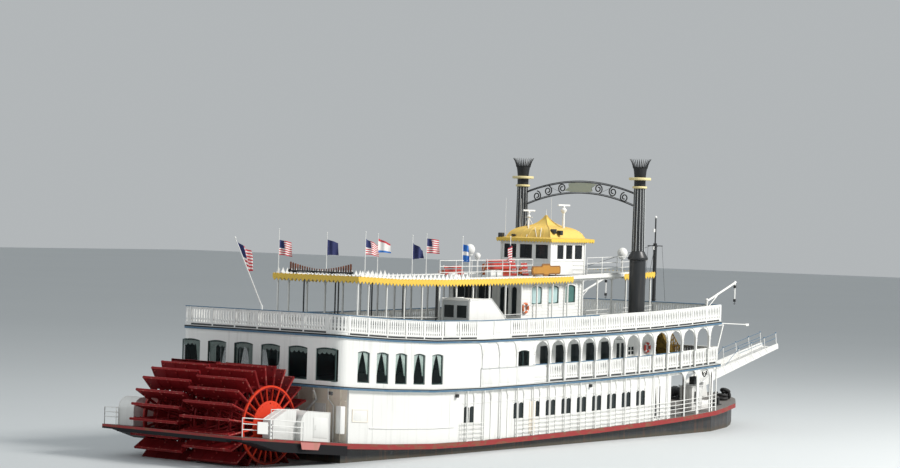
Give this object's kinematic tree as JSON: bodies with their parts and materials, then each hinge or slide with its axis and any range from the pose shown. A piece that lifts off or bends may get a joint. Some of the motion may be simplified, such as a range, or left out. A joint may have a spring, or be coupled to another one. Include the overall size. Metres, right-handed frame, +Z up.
{
  "type": "stern-wheel paddle steamer, half-size scale model",
  "caption": "Half-size scale model of a white river steamer with open decks, a red stern paddle wheel, tall black funnels joined by an arch, a pagoda-roofed pilothouse and a bow landing stage.",
  "frame": {"origin": "middle of the hull's flat bottom, on the centre line, 12 m of the model forward of the wheel's shaft", "axes": "+X forward to the bow, +Y to port, +Z up"},
  "size_m": [31.31, 6.1, 10.06],
  "materials": {
    "awning_yellow": "weathered paint",
    "beige_paint": "satin paint",
    "black_paint": "satin paint, streaked",
    "blue_trim": "satin paint",
    "copper_pipe": "dull copper",
    "door_grey": "satin paint",
    "gilding": "worn gilding",
    "guard_red": "scuffed paint with rust",
    "wheel_red": "weathered gloss paint",
    "white_paint": "satin paint"
  },
  "bodies": {
    "ship": {"hull": "black_paint", "main_deck": "guard_red", "wheel_arm_starboard": "guard_red", "wheel_arm_port": "guard_red", "stern_beam": "guard_red", "wheel_box_starboard": "white_paint", "wheel_box_port": "white_paint", "main_wall_starboard": "white_paint", "main_wall_port": "white_paint", "engine_bulkhead": "beige_paint", "main_wall_front": "white_paint", "second_deck": "blue_trim", "third_deck": "blue_trim", "saloon_wall_stern": "white_paint", "saloon_wall_starboard": "white_paint", "saloon_wall_port": "white_paint", "lounge_wall_starboard": "white_paint", "lounge_wall_port": "white_paint", "lounge_wall_front": "white_paint", "arcade_starboard": "white_paint", "arcade_port": "white_paint", "second_rail_starboard": "white_paint", "second_rail_port": "white_paint", "second_rail_front": "white_paint", "third_rail_starboard": "white_paint", "third_rail_port": "white_paint", "third_rail_stern": "white_paint", "third_rail_front": "white_paint", "awning_roof": "awning_yellow", "awning_posts_starboard": "white_paint", "awning_posts_port": "white_paint", "texas_walls": "white_paint", "stair_hood": "white_paint", "gilded_stair": "gilding", "pilothouse_walls": "white_paint", "pilothouse_roof": "awning_yellow", "funnel_starboard": "black_paint", "funnel_port": "black_paint", "funnel_arch": "black_paint", "mast": "black_paint", "calliope": "copper_pipe", "roof_rail_starboard": "white_paint", "roof_rail_port": "white_paint", "stern_staff": "white_paint", "stage_stand": "white_paint", "windlass": "black_paint"},
    "wheel": {"paddle_wheel_starboard": "wheel_red", "paddle_wheel_port": "wheel_red"},
    "rudder_starboard": {"rudder_starboard": "guard_red"},
    "rudder_port": {"rudder_port": "guard_red"},
    "landing_stage": {"landing_stage": "white_paint"},
    "davit_starboard": {"davit_starboard": "white_paint"},
    "davit_port": {"davit_port": "white_paint"},
    "radar_upper": {"radar_scanner_upper": "white_paint"},
    "radar_lower": {"radar_scanner_lower": "white_paint"},
    "hood_door_starboard": {"hood_door_starboard": "door_grey"},
    "hood_door_port": {"hood_door_port": "door_grey"},
    "lounge_door_starboard": {"lounge_door_starboard": "white_paint"},
    "lounge_door_port": {"lounge_door_port": "white_paint"},
    "pilothouse_door": {"pilothouse_door": "white_paint"}
  },
  "joints": [
    {"name": "wheel_turn", "type": "hinge", "parent": "ship", "child": "wheel", "pos_m": [-12, 0, 2.175], "axis": [0, 1, 0], "continuous": true},
    {"name": "rudder_starboard_turn", "type": "hinge", "parent": "ship", "child": "rudder_starboard", "pos_m": [-9.225, -1.55, 0.4], "axis": [0, 0, 1], "range_deg": [-35, 35]},
    {"name": "rudder_port_turn", "type": "hinge", "parent": "ship", "child": "rudder_port", "pos_m": [-9.225, 1.55, 0.4], "axis": [0, 0, 1], "range_deg": [-35, 35]},
    {"name": "stage_lift", "type": "hinge", "parent": "ship", "child": "landing_stage", "pos_m": [12.35, 0, 2.4], "axis": [0, -1, 0], "range_deg": [-20, 60]},
    {"name": "davit_starboard_slew", "type": "hinge", "parent": "ship", "child": "davit_starboard", "pos_m": [8.8, -2.65, 5.1], "axis": [0, 0, 1], "range_deg": [-95, 85]},
    {"name": "davit_port_slew", "type": "hinge", "parent": "ship", "child": "davit_port", "pos_m": [8.8, 2.65, 5.1], "axis": [0, 0, -1], "range_deg": [-95, 85]},
    {"name": "radar_upper_turn", "type": "hinge", "parent": "ship", "child": "radar_upper", "pos_m": [3.45, -0.5, 8.49], "axis": [0, 0, 1], "continuous": true},
    {"name": "radar_lower_turn", "type": "hinge", "parent": "ship", "child": "radar_lower", "pos_m": [2.85, 0.45, 8.29], "axis": [0, 0, 1], "continuous": true},
    {"name": "hood_door_starboard_swing", "type": "hinge", "parent": "ship", "child": "hood_door_starboard", "pos_m": [-4.2, -2.6, 5], "axis": [0, 0, 1], "range_deg": [0, 100]},
    {"name": "hood_door_port_swing", "type": "hinge", "parent": "ship", "child": "hood_door_port", "pos_m": [-4.2, -1.65, 5], "axis": [0, 0, -1], "range_deg": [0, 100]},
    {"name": "lounge_door_starboard_swing", "type": "hinge", "parent": "ship", "child": "lounge_door_starboard", "pos_m": [4.525, -2.3, 3.7], "axis": [0, 0, 1], "range_deg": [0, 90]},
    {"name": "lounge_door_port_swing", "type": "hinge", "parent": "ship", "child": "lounge_door_port", "pos_m": [4.525, 2.3, 3.7], "axis": [0, 0, -1], "range_deg": [0, 90]},
    {"name": "pilothouse_door_swing", "type": "hinge", "parent": "ship", "child": "pilothouse_door", "pos_m": [3.875, 0.975, 6.7], "axis": [0, 0, -1], "range_deg": [0, 90]}
  ],
  "couplings": [
    {"joint": "rudder_port_turn", "follows": "rudder_starboard_turn", "ratio": 1}
  ]
}
